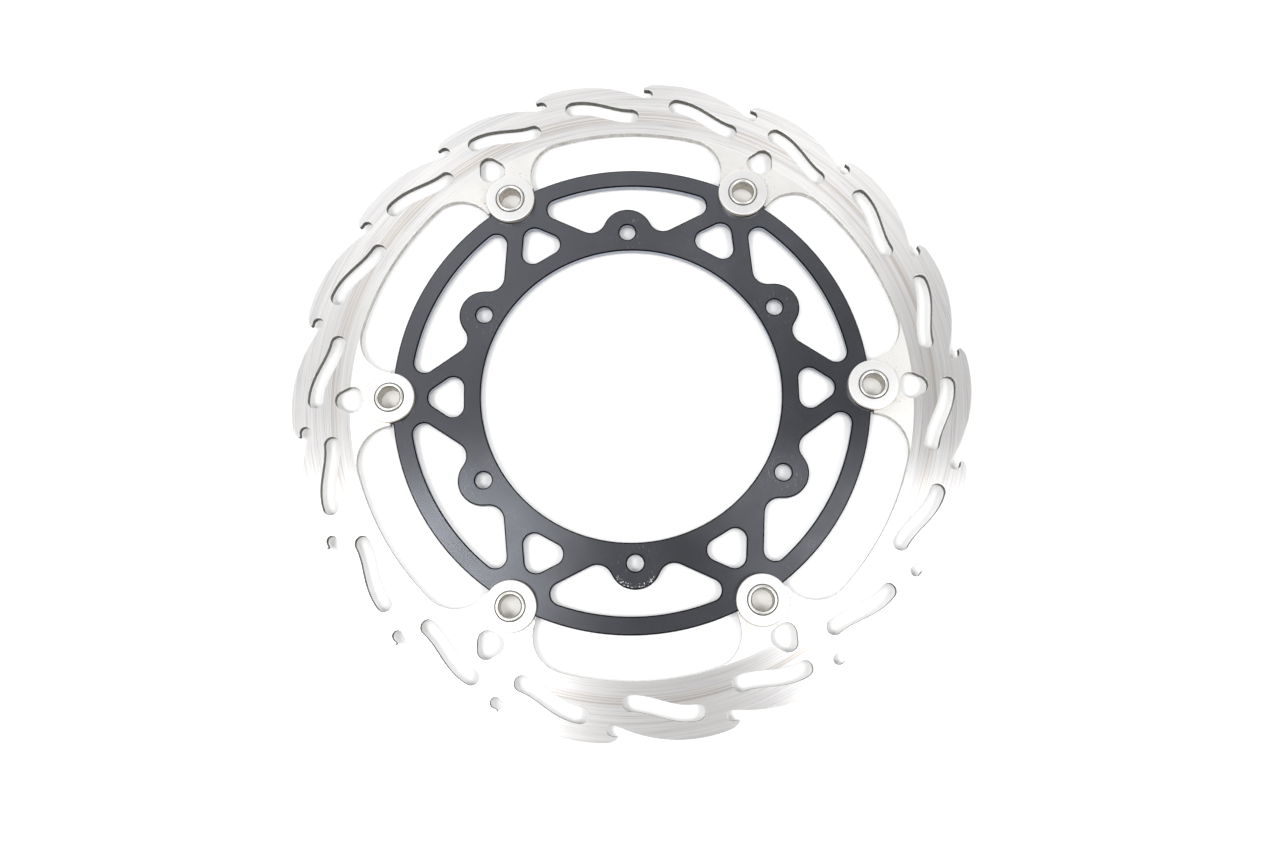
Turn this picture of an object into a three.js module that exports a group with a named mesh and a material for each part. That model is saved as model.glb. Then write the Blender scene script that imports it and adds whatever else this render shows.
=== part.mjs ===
// Floating front brake disc for an off-road motorcycle.
//
// A ring-shaped steel blade, which the pads grip, floats on six drive bobbins around a flat
// aluminium carrier, which bolts to the wheel hub. Each bobbin sits half in a notch of the carrier's
// rim and half in a notch of a blade lug. Its flange closes the hub side, and its rolled-over lip
// holds a flat washer and a wave washer on the outer side.
//
// Millimetres, +Z up. The disc lies flat with its outer side up. The origin is on the wheel axis, in
// the plane of the bobbins' flange faces, which is the lowest plane of the disc.

import * as THREE from 'three';

// ---------------------------------------------------------------- driving dimensions

// Heights above the flange faces.
const FLANGE_THICKNESS = 1.0;
const CARRIER_BOTTOM = 1.25;
const CARRIER_THICKNESS = 3.5;
const BLADE_THICKNESS = 3.0;
const CARRIER_TOP = CARRIER_BOTTOM + CARRIER_THICKNESS;
const BLADE_BOTTOM = CARRIER_BOTTOM + (CARRIER_THICKNESS - BLADE_THICKNESS) / 2;
const STACK_GAP = 0.05;

// Blade: one tooth and one slot every 20 degrees, six lugs.
const TOOTH_COUNT = 18;
const BLADE_RADIUS = 135;
const PAD_TRACK_INNER_RADIUS = 111.9;
const TOOTH_BACK_RADIUS = 53.8;
const TOOTH_CREST_ANGLE = 9;
const GULLET = { x: 10, y: 129.55, r: 2.1 };
const HOOK_TIP = { x: 9, y: 132.3, r: 0.6 };
const HOOK_SHOULDER = { x: 11.85, y: 130.85, r: 3.15 };
const SLOT_WIDTH = 6.1;
const SLOT_OUTER_END = { radius: 125.65, angle: -10 };
const SLOT_INNER_END = { radius: 119.9, angle: 1.4 };
const SLOT_STEPS = 7;
const LUG_FILLET_RADIUS = 14.2;
const LUG_FILLET_ANGLE = 14.9;
const LUG_TIP_RADIUS = 96.2;
const LUG_CORNER_RADIUS = 0.6;
const TEARDROP_TIP = { y: 114.1, r: 3.8 };
const TEARDROP_FOOT = { x: 1.3, y: 111.1, r: 4 };

// Carrier: six bolt bosses between six drive bobbins.
const CARRIER_RADIUS = 95;
const HUB_BORE_RADIUS = 59.8;
const BOLT_CIRCLE_RADIUS = 67.7;
const BOLT_HOLE_RADIUS = 3.25;
const BOSS_RADIUS = 10.1;
const WINDOW_OUTER_RADIUS = 87.9;
const WINDOW_CORNER_RADIUS = 4.3;
const WINDOW_CORNER_ANGLE = 19.9;
const WINDOW_VALLEY = { x: 14.85, y: 73.85, r: 5.9 };
const TRIANGLE_TIP = { y: 76.25, r: 4.5 };
const TRIANGLE_FOOT = { x: 3.9, y: 70.95, r: 4.3 };

// Drive bobbins and their washers.
const BOBBIN_COUNT = 6;
const BOBBIN_CIRCLE_RADIUS = 95.8;
const NOTCH_RADIUS = 6.5;
const NOTCH_CORNER_RADIUS = 0.4;
const SLEEVE_RADIUS = 6.2;
const NECK_RADIUS = 5;
const LIP_RADIUS = 5.45;
const LIP_CREST_RADIUS = 4.9;
const LIP_MOUTH_RADIUS = 4.45;
const LIP_RISE = 0.5;
const LIP_DEPTH = 0.8;
const BORE_RADIUS = 4.05;
const BORE_RELIEF_RADIUS = 4.5;
const BORE_RELIEF_DEPTH = 2.7;
const FLANGE_RADIUS = 10;
const FLANGE_CHAMFER = 0.3;
const WASHER_RADIUS = 9.9;
const WASHER_THICKNESS = 1.2;
const WASHER_EDGE = 0.35;
const WASHER_HOLE_RADIUS = 5.3;
const COUNTERSINK_RADIUS = 6.05;
const COUNTERSINK_DEPTH = 0.95;
const WAVE_WASHER_RADIUS = 10;
const WAVE_WASHER_HOLE_RADIUS = 5.5;
const WAVE_WASHER_THICKNESS = 0.35;
const WAVE_HEIGHT = 0.7;
const WAVE_COUNT = 3;

// Heights of the washer stack, bottom to top.
const SLEEVE_TOP = CARRIER_TOP;
const WAVE_WASHER_BOTTOM = CARRIER_TOP + STACK_GAP;
const WASHER_BOTTOM = WAVE_WASHER_BOTTOM + WAVE_HEIGHT + WAVE_WASHER_THICKNESS + STACK_GAP;
const WASHER_TOP = WASHER_BOTTOM + WASHER_THICKNESS;
const LIP_TOP = WASHER_TOP + LIP_RISE;

// Fineness of the facets.
const ARC_SAGITTA = 0.09;
const SMALLEST_STEPS_PER_TURN = 12;
const BOBBIN_SEGMENTS = 22;
const WASHER_SEGMENTS = 26;
const WAVE_WASHER_SEGMENTS = 30;

// ---------------------------------------------------------------- finishes

const groundSteel = new THREE.MeshStandardMaterial({ color: 0xdedbd6, roughness: 0.34, metalness: 1 });
const blackAnodised = new THREE.MeshStandardMaterial({ color: 0x54575d, roughness: 0.5, metalness: 0.6 });
const platedSteel = new THREE.MeshStandardMaterial({ color: 0xe6e3dc, roughness: 0.3, metalness: 1 });
const turnedSteel = new THREE.MeshStandardMaterial({ color: 0xcac5ba, roughness: 0.32, metalness: 1 });
const springSteel = new THREE.MeshStandardMaterial({ color: 0xb9a887, roughness: 0.38, metalness: 1 });

// ---------------------------------------------------------------- outlines

const radians = THREE.MathUtils.degToRad;

// An outline is laid out in a sector frame: y runs outward from the wheel axis along the sector's
// centre line, and x runs clockwise. A pulley is a circle that an outline turns round; its signed
// radius is positive where the outline turns anticlockwise.
const pulley = (x, y, signedRadius) => ({ x, y, s: signedRadius });

const atPolar = (radius, angle, signedRadius) =>
  pulley(radius * Math.sin(radians(angle)), radius * Math.cos(radians(angle)), signedRadius);

const hub = (signedRadius) => pulley(0, 0, signedRadius);

// The centre that lies at given distances from two other centres, on the side where x is larger.
function centreBetween(first, firstDistance, second, secondDistance) {
  const dx = second.x - first.x;
  const dy = second.y - first.y;
  const span = Math.hypot(dx, dy);
  const along = (span ** 2 + firstDistance ** 2 - secondDistance ** 2) / (2 * span);
  const across = Math.sqrt(firstDistance ** 2 - along ** 2);
  const side = dy > 0 ? 1 : -1;
  return {
    x: first.x + (dx * along + side * dy * across) / span,
    y: first.y + (dy * along - side * dx * across) / span,
  };
}

// Moves a pulley from a sector frame to the disc's own axes.
function toSector({ x, y, s }, sectorAngle) {
  const c = Math.cos(radians(sectorAngle));
  const k = Math.sin(radians(sectorAngle));
  return pulley(y * c + x * k, y * k - x * c, s);
}

// Points of one arc, from angle a0 through the signed sweep.
function arcPoints({ x, y, s }, a0, sweep) {
  const radius = Math.abs(s);
  const finestStep = (2 * Math.PI) / SMALLEST_STEPS_PER_TURN;
  const step = Math.min(finestStep, 2 * Math.acos(1 - Math.min(1, ARC_SAGITTA / radius)));
  const steps = Math.max(1, Math.ceil(Math.abs(sweep) / step - 1e-6));
  const points = [];
  for (let i = 0; i <= steps; i++) {
    const a = a0 + (sweep * i) / steps;
    points.push(new THREE.Vector2(x + radius * Math.cos(a), y + radius * Math.sin(a)));
  }
  return points;
}

// A closed outline that runs round the pulleys in turn, like a belt, on their common tangents.
function belt(pulleys) {
  const tangents = pulleys.map((a, i) => {
    const b = pulleys[(i + 1) % pulleys.length];
    const dx = b.x - a.x;
    const dy = b.y - a.y;
    const lean = THREE.MathUtils.clamp((b.s - a.s) / Math.hypot(dx, dy), -1, 1);
    const heading = Math.atan2(dy, dx) - Math.asin(lean);
    return heading - Math.PI / 2;
  });
  const points = [];
  pulleys.forEach((p, i) => {
    const flip = p.s > 0 ? 0 : Math.PI;
    const enter = tangents.at(i - 1) + flip;
    const leave = tangents[i] + flip;
    const turn = 2 * Math.PI;
    const ahead = (((leave - enter) % turn) + turn) % turn;
    const sweep = p.s > 0 ? ahead : ahead - turn;
    const idle = Math.abs(sweep) < 1e-4 || Math.abs(sweep) > turn - 1e-4;
    points.push(...arcPoints(p, enter, idle ? 0 : sweep));
  });
  return withoutRepeats(points);
}

// Drops points that fall on the one before them.
function withoutRepeats(points) {
  const nearest = 0.01;
  return points.filter((p, i) => p.distanceTo(points.at(i - 1)) > nearest);
}

const circle = (centre, radius) => withoutRepeats(arcPoints(pulley(centre.x, centre.y, radius), 0, 2 * Math.PI));

// Repeats a list of pulleys, given in one sector frame, round the disc in clockwise order.
function roundTheDisc(count, firstAngle, pulleys) {
  const all = [];
  for (let i = 0; i < count; i++) {
    const sectorAngle = firstAngle - (360 * i) / count;
    all.push(...pulleys.map((p) => toSector(p, sectorAngle)));
  }
  return all;
}

// Sector angles of count equal sectors.
const sectorAngles = (count, firstAngle) =>
  Array.from({ length: count }, (_, i) => firstAngle + (360 * i) / count);

const mirrored = (p) => ({ ...p, x: -p.x });

// ---------------------------------------------------------------- blade outlines

const TOOTH_SECTOR_START = 10;

function bladeRim() {
  const back = atPolar(BLADE_RADIUS - TOOTH_BACK_RADIUS, TOOTH_CREST_ANGLE, -TOOTH_BACK_RADIUS);
  const gullet = pulley(GULLET.x, GULLET.y, GULLET.r);
  const tip = pulley(HOOK_TIP.x, HOOK_TIP.y, -HOOK_TIP.r);
  const shoulder = pulley(HOOK_SHOULDER.x, HOOK_SHOULDER.y, -HOOK_SHOULDER.r);
  return belt(roundTheDisc(TOOTH_COUNT, TOOTH_SECTOR_START, [gullet, tip, shoulder, back]));
}

// The corner that rounds the mouth of a bobbin notch, where it meets a circle about the wheel axis.
function notchCorner(distanceFromAxis) {
  const notchCentre = { x: 0, y: BOBBIN_CIRCLE_RADIUS };
  return centreBetween({ x: 0, y: 0 }, distanceFromAxis, notchCentre, NOTCH_RADIUS + NOTCH_CORNER_RADIUS);
}

function bladeInside() {
  const fillet = atPolar(PAD_TRACK_INNER_RADIUS - LUG_FILLET_RADIUS, LUG_FILLET_ANGLE, -LUG_FILLET_RADIUS);
  const lugTip = hub(-LUG_TIP_RADIUS);
  const outerCorner = centreBetween(
    { x: 0, y: 0 }, LUG_TIP_RADIUS + LUG_CORNER_RADIUS,
    mirrored(fillet), LUG_FILLET_RADIUS + LUG_CORNER_RADIUS,
  );
  const flankCorner = pulley(Math.abs(outerCorner.x), outerCorner.y, LUG_CORNER_RADIUS);
  const mouth = notchCorner(LUG_TIP_RADIUS + NOTCH_CORNER_RADIUS);
  const mouthCorner = pulley(mouth.x, mouth.y, NOTCH_CORNER_RADIUS);
  return belt(roundTheDisc(BOBBIN_COUNT, 0, [
    hub(-PAD_TRACK_INNER_RADIUS),
    mirrored(fillet), mirrored(flankCorner), lugTip, mirrored(mouthCorner),
    pulley(0, BOBBIN_CIRCLE_RADIUS, -NOTCH_RADIUS),
    mouthCorner, lugTip, flankCorner, fillet,
  ]));
}

// An S-shaped slot of constant width. Its centre line eases from one radius to the other.
function slotOutline(sectorAngle) {
  const half = SLOT_WIDTH / 2;
  const centreLine = (t) => {
    const eased = (1 - Math.cos(Math.PI * t)) / 2;
    const radius = THREE.MathUtils.lerp(SLOT_OUTER_END.radius, SLOT_INNER_END.radius, eased);
    return atPolar(radius, THREE.MathUtils.lerp(SLOT_OUTER_END.angle, SLOT_INNER_END.angle, t), half);
  };
  const heading = (t) => {
    const near = 1e-3;
    const before = centreLine(t - near);
    const after = centreLine(t + near);
    return Math.atan2(after.y - before.y, after.x - before.x);
  };
  const side = (t, quarterTurn) => {
    const c = centreLine(t);
    const a = heading(t) + quarterTurn;
    return new THREE.Vector2(c.x + half * Math.cos(a), c.y + half * Math.sin(a));
  };
  const inner = Array.from({ length: SLOT_STEPS - 1 }, (_, i) => (i + 1) / SLOT_STEPS);
  const points = [
    ...inner.map((t) => side(t, -Math.PI / 2)),
    ...arcPoints(centreLine(1), heading(1) - Math.PI / 2, Math.PI),
    ...inner.reverse().map((t) => side(t, Math.PI / 2)),
    ...arcPoints(centreLine(0), heading(0) + Math.PI / 2, Math.PI),
  ];
  return points.map(({ x, y }) => {
    const p = toSector({ x, y }, sectorAngle);
    return new THREE.Vector2(p.x, p.y);
  });
}

function teardropOutline(sectorAngle) {
  const foot = pulley(TEARDROP_FOOT.x, TEARDROP_FOOT.y, TEARDROP_FOOT.r);
  const tip = pulley(0, TEARDROP_TIP.y, TEARDROP_TIP.r);
  return belt([foot, tip, mirrored(foot)].map((p) => toSector(p, sectorAngle)));
}

// ---------------------------------------------------------------- carrier outlines

function carrierRim() {
  const mouth = notchCorner(CARRIER_RADIUS - NOTCH_CORNER_RADIUS);
  const mouthCorner = pulley(mouth.x, mouth.y, -NOTCH_CORNER_RADIUS);
  return belt(roundTheDisc(BOBBIN_COUNT, 0, [
    hub(-CARRIER_RADIUS), mirrored(mouthCorner), pulley(0, BOBBIN_CIRCLE_RADIUS, NOTCH_RADIUS), mouthCorner,
  ]));
}

function windowOutline(sectorAngle) {
  const corner = atPolar(WINDOW_OUTER_RADIUS - WINDOW_CORNER_RADIUS, WINDOW_CORNER_ANGLE, WINDOW_CORNER_RADIUS);
  const valley = pulley(WINDOW_VALLEY.x, WINDOW_VALLEY.y, WINDOW_VALLEY.r);
  const boss = pulley(0, BOLT_CIRCLE_RADIUS, -BOSS_RADIUS);
  const pulleys = [corner, hub(WINDOW_OUTER_RADIUS), mirrored(corner), mirrored(valley), boss, valley];
  return belt(pulleys.map((p) => toSector(p, sectorAngle)));
}

function triangleOutline(sectorAngle) {
  const foot = pulley(TRIANGLE_FOOT.x, TRIANGLE_FOOT.y, TRIANGLE_FOOT.r);
  const tip = pulley(0, TRIANGLE_TIP.y, TRIANGLE_TIP.r);
  return belt([foot, tip, mirrored(foot)].map((p) => toSector(p, sectorAngle)));
}

const boltHoleOutline = (sectorAngle) =>
  circle(toSector({ x: 0, y: BOLT_CIRCLE_RADIUS }, sectorAngle), BOLT_HOLE_RADIUS);

// ---------------------------------------------------------------- solids

// A flat plate with openings, from z = bottom upward.
function plate(outline, openings, bottom, thickness) {
  const anticlockwise = THREE.ShapeUtils.isClockWise(outline) ? [...outline].reverse() : outline;
  const shape = new THREE.Shape(anticlockwise);
  shape.holes = openings.map((points) => new THREE.Path(points));
  const geometry = new THREE.ExtrudeGeometry(shape, { depth: thickness, bevelEnabled: false });
  return geometry.translate(0, 0, bottom);
}

// A turned piece. The profile lists [radius, height] pairs round the section, and closes itself.
function turned(profile, segments) {
  const section = profile.map(([radius, height]) => new THREE.Vector2(radius, height));
  section.push(section[0].clone());
  return new THREE.LatheGeometry(section, segments).rotateX(Math.PI / 2);
}

function bladeGeometry() {
  const openings = [
    bladeInside(),
    ...sectorAngles(TOOTH_COUNT, TOOTH_SECTOR_START).map(slotOutline),
    ...sectorAngles(BOBBIN_COUNT, 0).map(teardropOutline),
  ];
  return plate(bladeRim(), openings, BLADE_BOTTOM, BLADE_THICKNESS);
}

function carrierGeometry() {
  const betweenBobbins = 180 / BOBBIN_COUNT;
  const openings = [
    circle({ x: 0, y: 0 }, HUB_BORE_RADIUS),
    ...sectorAngles(BOBBIN_COUNT, betweenBobbins).map(windowOutline),
    ...sectorAngles(BOBBIN_COUNT, betweenBobbins).map(boltHoleOutline),
    ...sectorAngles(BOBBIN_COUNT, 0).map(triangleOutline),
  ];
  return plate(carrierRim(), openings, CARRIER_BOTTOM, CARRIER_THICKNESS);
}

// The hollow bobbin: flange on the hub side, sleeve through both notches, neck, and a lip that is
// rolled outward into the washer's countersink.
function bobbinGeometry() {
  const neckTop = WASHER_TOP - LIP_DEPTH;
  const lipShoulder = LIP_RISE / 5;
  const reliefTop = CARRIER_TOP - BORE_RELIEF_DEPTH;
  const reliefTaper = BORE_RELIEF_RADIUS - BORE_RADIUS;
  return turned([
    [BORE_RELIEF_RADIUS, 0],
    [FLANGE_RADIUS - FLANGE_CHAMFER, 0],
    [FLANGE_RADIUS, FLANGE_CHAMFER],
    [FLANGE_RADIUS, FLANGE_THICKNESS],
    [SLEEVE_RADIUS, FLANGE_THICKNESS],
    [SLEEVE_RADIUS, SLEEVE_TOP],
    [NECK_RADIUS, SLEEVE_TOP],
    [NECK_RADIUS, neckTop],
    [LIP_RADIUS, WASHER_TOP - lipShoulder],
    [LIP_RADIUS, WASHER_TOP + lipShoulder],
    [LIP_CREST_RADIUS, LIP_TOP],
    [LIP_MOUTH_RADIUS, WASHER_TOP + lipShoulder],
    [BORE_RADIUS, neckTop],
    [BORE_RADIUS, reliefTop],
    [BORE_RELIEF_RADIUS, reliefTop - reliefTaper],
  ], BOBBIN_SEGMENTS);
}

function flatWasherGeometry() {
  return turned([
    [WASHER_HOLE_RADIUS, WASHER_BOTTOM],
    [WASHER_RADIUS, WASHER_BOTTOM],
    [WASHER_RADIUS, WASHER_TOP - WASHER_EDGE],
    [WASHER_RADIUS - WASHER_EDGE, WASHER_TOP],
    [COUNTERSINK_RADIUS, WASHER_TOP],
    [WASHER_HOLE_RADIUS, WASHER_TOP - COUNTERSINK_DEPTH],
  ], WASHER_SEGMENTS);
}

// A thin ring whose faces rise and fall WAVE_COUNT times round its circle.
function waveWasherGeometry() {
  const geometry = turned([
    [WAVE_WASHER_HOLE_RADIUS, WAVE_WASHER_BOTTOM],
    [WAVE_WASHER_RADIUS, WAVE_WASHER_BOTTOM],
    [WAVE_WASHER_RADIUS, WAVE_WASHER_BOTTOM + WAVE_WASHER_THICKNESS],
    [WAVE_WASHER_HOLE_RADIUS, WAVE_WASHER_BOTTOM + WAVE_WASHER_THICKNESS],
  ], WAVE_WASHER_SEGMENTS);
  const position = geometry.attributes.position;
  for (let i = 0; i < position.count; i++) {
    const around = Math.atan2(position.getY(i), position.getX(i));
    const rise = (WAVE_HEIGHT * (1 + Math.cos(WAVE_COUNT * around))) / 2;
    position.setZ(i, position.getZ(i) + rise);
  }
  return geometry;
}

// ---------------------------------------------------------------- assembly

function named(name, geometry, material) {
  const mesh = new THREE.Mesh(geometry, material);
  mesh.name = name;
  return mesh;
}

const group = new THREE.Group();
group.add(named('carrier', carrierGeometry(), blackAnodised));
group.add(named('blade', bladeGeometry(), groundSteel));

sectorAngles(BOBBIN_COUNT, 0).forEach((angle, i) => {
  const button = new THREE.Group();
  const number = i + 1;
  button.add(named(`bobbin_${number}`, bobbinGeometry(), turnedSteel));
  button.add(named(`wave_washer_${number}`, waveWasherGeometry(), springSteel));
  button.add(named(`flat_washer_${number}`, flatWasherGeometry(), platedSteel));
  const seat = toSector({ x: 0, y: BOBBIN_CIRCLE_RADIUS }, angle);
  button.position.set(seat.x, seat.y, 0);
  button.rotation.z = radians(angle);
  group.add(button);
});

export default group;
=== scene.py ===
"""Looks of a floating motorcycle brake disc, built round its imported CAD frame.

Metres, +Z up. The disc lies flat with its outer side up, and its axis is the Z axis.
"""

import math

import bmesh
import bpy
from mathutils import Euler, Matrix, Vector
from mathutils.geometry import delaunay_2d_cdt


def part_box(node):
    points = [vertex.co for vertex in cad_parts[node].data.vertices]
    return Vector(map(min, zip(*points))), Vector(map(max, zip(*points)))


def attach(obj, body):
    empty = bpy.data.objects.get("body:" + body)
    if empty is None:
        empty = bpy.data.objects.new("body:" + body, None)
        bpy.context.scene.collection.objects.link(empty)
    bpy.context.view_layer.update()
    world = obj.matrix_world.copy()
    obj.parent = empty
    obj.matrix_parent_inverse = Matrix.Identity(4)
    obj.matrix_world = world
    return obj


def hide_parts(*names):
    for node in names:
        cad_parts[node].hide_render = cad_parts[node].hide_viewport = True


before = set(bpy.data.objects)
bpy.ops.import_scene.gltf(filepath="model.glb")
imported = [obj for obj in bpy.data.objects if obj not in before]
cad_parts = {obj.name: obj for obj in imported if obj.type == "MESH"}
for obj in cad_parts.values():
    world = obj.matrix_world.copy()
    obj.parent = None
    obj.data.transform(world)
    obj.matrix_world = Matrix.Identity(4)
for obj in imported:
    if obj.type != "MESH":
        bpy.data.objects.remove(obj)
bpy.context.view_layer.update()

MM = 0.001

# ---------------------------------------------------------------- sizes, in millimetres

# Three numbers are the x, y and radius of a circle in a sector, and two are the radius and the angle
# of a slot's end. Angles are in degrees. The outlines below say how a sector is laid out.

TOOTH_COUNT = 18
TOOTH_SECTOR_START = 10
BLADE_RADIUS = 135
PAD_TRACK_INNER_RADIUS = 111.9
TOOTH_BACK_RADIUS = 53.8
TOOTH_CREST_ANGLE = 9
GULLET = (10, 129.55, 2.1)
HOOK_TIP = (9, 132.3, 0.6)
HOOK_SHOULDER = (11.85, 130.85, 3.15)
SLOT_WIDTH = 6.1
SLOT_OUTER_END = (125.65, -10)
SLOT_INNER_END = (119.9, 1.4)
SLOT_STEPS = 40
LUG_FILLET_RADIUS = 14.2
LUG_FILLET_ANGLE = 14.9
LUG_TIP_RADIUS = 96.2
LUG_CORNER_RADIUS = 0.6
TEARDROP_TIP = (0, 114.1, 3.8)
TEARDROP_FOOT = (1.3, 111.1, 4)
BLADE_EDGE = 0.12

CARRIER_RADIUS = 95
HUB_BORE_RADIUS = 59.8
BOLT_CIRCLE_RADIUS = 67.7
BOLT_HOLE_RADIUS = 3.25
BOSS_RADIUS = 10.1
WINDOW_OUTER_RADIUS = 87.9
WINDOW_CORNER_RADIUS = 4.3
WINDOW_CORNER_ANGLE = 19.9
WINDOW_VALLEY = (14.85, 73.85, 5.9)
TRIANGLE_TIP = (0, 76.25, 4.5)
TRIANGLE_FOOT = (3.9, 70.95, 4.3)
CARRIER_EDGE = 0.5

BOBBIN_COUNT = 6
BETWEEN_BOBBINS = 180 / BOBBIN_COUNT
BOBBIN_CIRCLE_RADIUS = 95.8
NOTCH_RADIUS = 6.5
NOTCH_CORNER_RADIUS = 0.6
SLEEVE_RADIUS = 6.2
NECK_RADIUS = 5
LIP_RADIUS = 5.7
LIP_MOUTH_RADIUS = 4.45
LIP_RISE = 0.5
LIP_DEPTH = 0.8
LIP_FLARE = 0.12
BORE_RADIUS = 4.05
BORE_RELIEF_RADIUS = 4.5
BORE_RELIEF_DEPTH = 2.7
FLANGE_RADIUS = 10
FLANGE_THICKNESS = 1
FLANGE_EDGE = 0.3
WASHER_RADIUS = 9.9
WASHER_THICKNESS = 1.2
WASHER_EDGE = 0.35
WASHER_HOLE_RADIUS = 5.3
COUNTERSINK_RADIUS = 5.92
COUNTERSINK_DEPTH = 0.95
WAVE_WASHER_RADIUS = 10
WAVE_WASHER_HOLE_RADIUS = 5.5
WAVE_WASHER_THICKNESS = 0.35
WAVE_HEIGHT = 0.7
WAVE_COUNT = 3

TURNED_SEGMENTS = 128
ARC_SAGITTA = 0.006
SMALLEST_STEPS_PER_TURN = 32
EDGE_STEPS = 3
SHARPEST_SMOOTH = math.radians(35)
SAME_POINT = 1e-6

# Material indices of the plates, of the bobbins and of the flat washers.
FACE, WALL, EDGE, INNER_FACE = 0, 1, 2, 3
# The third bobbin index marks surfaces painted dark as shade in the gaps round the lip.
OUTSIDE, INSIDE, PAINTED_SHADE = 0, 1, 2
WASHER_OUTSIDE, COUNTERSINK = 0, 1

# Turns the grain a quarter, so that highlights spread across the turning and grinding circles.
GRAIN_TURN = 0.25

# ---------------------------------------------------------------- outlines

# An outline is laid out in a sector frame: y runs outward along the sector's centre line, and x runs
# clockwise. A pulley (x, y, s) is a circle that an outline turns round. Its signed radius s is positive
# where the outline turns anticlockwise. Every outline here runs with the metal on its right.


def at_polar(radius, angle, s):
    a = math.radians(angle)
    return (radius * math.sin(a), radius * math.cos(a), s)


def hub(s):
    return (0, 0, s)


def turned_other_way(pulley):
    return (pulley[0], pulley[1], -pulley[2])


def mirrored(pulley):
    return (-pulley[0], pulley[1], pulley[2])


def to_sector(pulley, sector_angle):
    """A pulley of a sector frame, in the disc's own axes."""
    x, y, s = pulley
    c = math.cos(math.radians(sector_angle))
    k = math.sin(math.radians(sector_angle))
    return (y * c + x * k, y * k - x * c, s)


def centre_between(first, first_distance, second, second_distance):
    """The centre at given distances from two others, on the side where x is larger."""
    dx, dy = second[0] - first[0], second[1] - first[1]
    span = math.hypot(dx, dy)
    along = (span**2 + first_distance**2 - second_distance**2) / (2 * span)
    across = math.sqrt(first_distance**2 - along**2)
    side = 1 if dy > 0 else -1
    return (
        first[0] + (dx * along + side * dy * across) / span,
        first[1] + (dy * along - side * dx * across) / span,
    )


def arc_points(x, y, s, start, sweep, shift):
    """Points of one arc, whose number doesn't depend on the shift."""
    finest = 2 * math.pi / SMALLEST_STEPS_PER_TURN
    step = min(finest, 2 * math.acos(1 - min(1, ARC_SAGITTA / abs(s))))
    steps = max(1, math.ceil(abs(sweep) / step - 1e-6))
    radius = abs(s + shift)
    turns = [start + sweep * i / steps for i in range(steps + 1)]
    return [(x + radius * math.cos(a), y + radius * math.sin(a)) for a in turns]


def belt(pulleys, shift=0):
    """A closed outline that runs round the pulleys in turn, like a belt, moved right by shift."""
    leaving = []
    for i, (ax, ay, a_s) in enumerate(pulleys):
        bx, by, b_s = pulleys[(i + 1) % len(pulleys)]
        lean = (b_s - a_s) / math.hypot(bx - ax, by - ay)
        heading = math.atan2(by - ay, bx - ax) - math.asin(max(-1, min(1, lean)))
        leaving.append(heading - math.pi / 2)
    points = []
    for i, (x, y, s) in enumerate(pulleys):
        flip = 0 if s > 0 else math.pi
        ahead = (leaving[i] - leaving[i - 1]) % (2 * math.pi)
        sweep = ahead if s > 0 else ahead - 2 * math.pi
        idle = abs(sweep) < 1e-4 or abs(sweep) > 2 * math.pi - 1e-4
        points += arc_points(x, y, s, leaving[i - 1] + flip, 0 if idle else sweep, shift)
    return points


def circle(x, y, radius, shift=0):
    return arc_points(x, y, radius, 0, 2 * math.pi, shift)[:-1]


def round_the_disc(count, first_angle, pulleys):
    """Pulleys of one sector frame, repeated round the disc in clockwise order."""
    return [
        to_sector(p, first_angle - 360 * i / count) for i in range(count) for p in pulleys
    ]


def sector_angles(count, first_angle=0):
    return [first_angle + 360 * i / count for i in range(count)]


def notch_corner(distance_from_axis):
    """The centre of the corner that rounds the mouth of a bobbin notch."""
    notch = (0, BOBBIN_CIRCLE_RADIUS)
    return centre_between((0, 0), distance_from_axis, notch, NOTCH_RADIUS + NOTCH_CORNER_RADIUS)


def blade_rim(shift):
    back = at_polar(BLADE_RADIUS - TOOTH_BACK_RADIUS, TOOTH_CREST_ANGLE, -TOOTH_BACK_RADIUS)
    tooth = [GULLET, turned_other_way(HOOK_TIP), turned_other_way(HOOK_SHOULDER), back]
    return belt(round_the_disc(TOOTH_COUNT, TOOTH_SECTOR_START, tooth), shift)


def blade_inside(shift):
    centre_radius = PAD_TRACK_INNER_RADIUS - LUG_FILLET_RADIUS
    fillet = at_polar(centre_radius, LUG_FILLET_ANGLE, -LUG_FILLET_RADIUS)
    lug_tip = hub(-LUG_TIP_RADIUS)
    x, y = centre_between(
        (0, 0), LUG_TIP_RADIUS + LUG_CORNER_RADIUS, mirrored(fillet), LUG_FILLET_RADIUS + LUG_CORNER_RADIUS
    )
    flank = (abs(x), y, LUG_CORNER_RADIUS)
    mouth = (*notch_corner(LUG_TIP_RADIUS + NOTCH_CORNER_RADIUS), NOTCH_CORNER_RADIUS)
    sector = [hub(-PAD_TRACK_INNER_RADIUS), mirrored(fillet), mirrored(flank), lug_tip, mirrored(mouth)]
    sector += [(0, BOBBIN_CIRCLE_RADIUS, -NOTCH_RADIUS), mouth, lug_tip, flank, fillet]
    clockwise = belt(round_the_disc(BOBBIN_COUNT, 0, sector), -shift)
    return clockwise[::-1]


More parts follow.
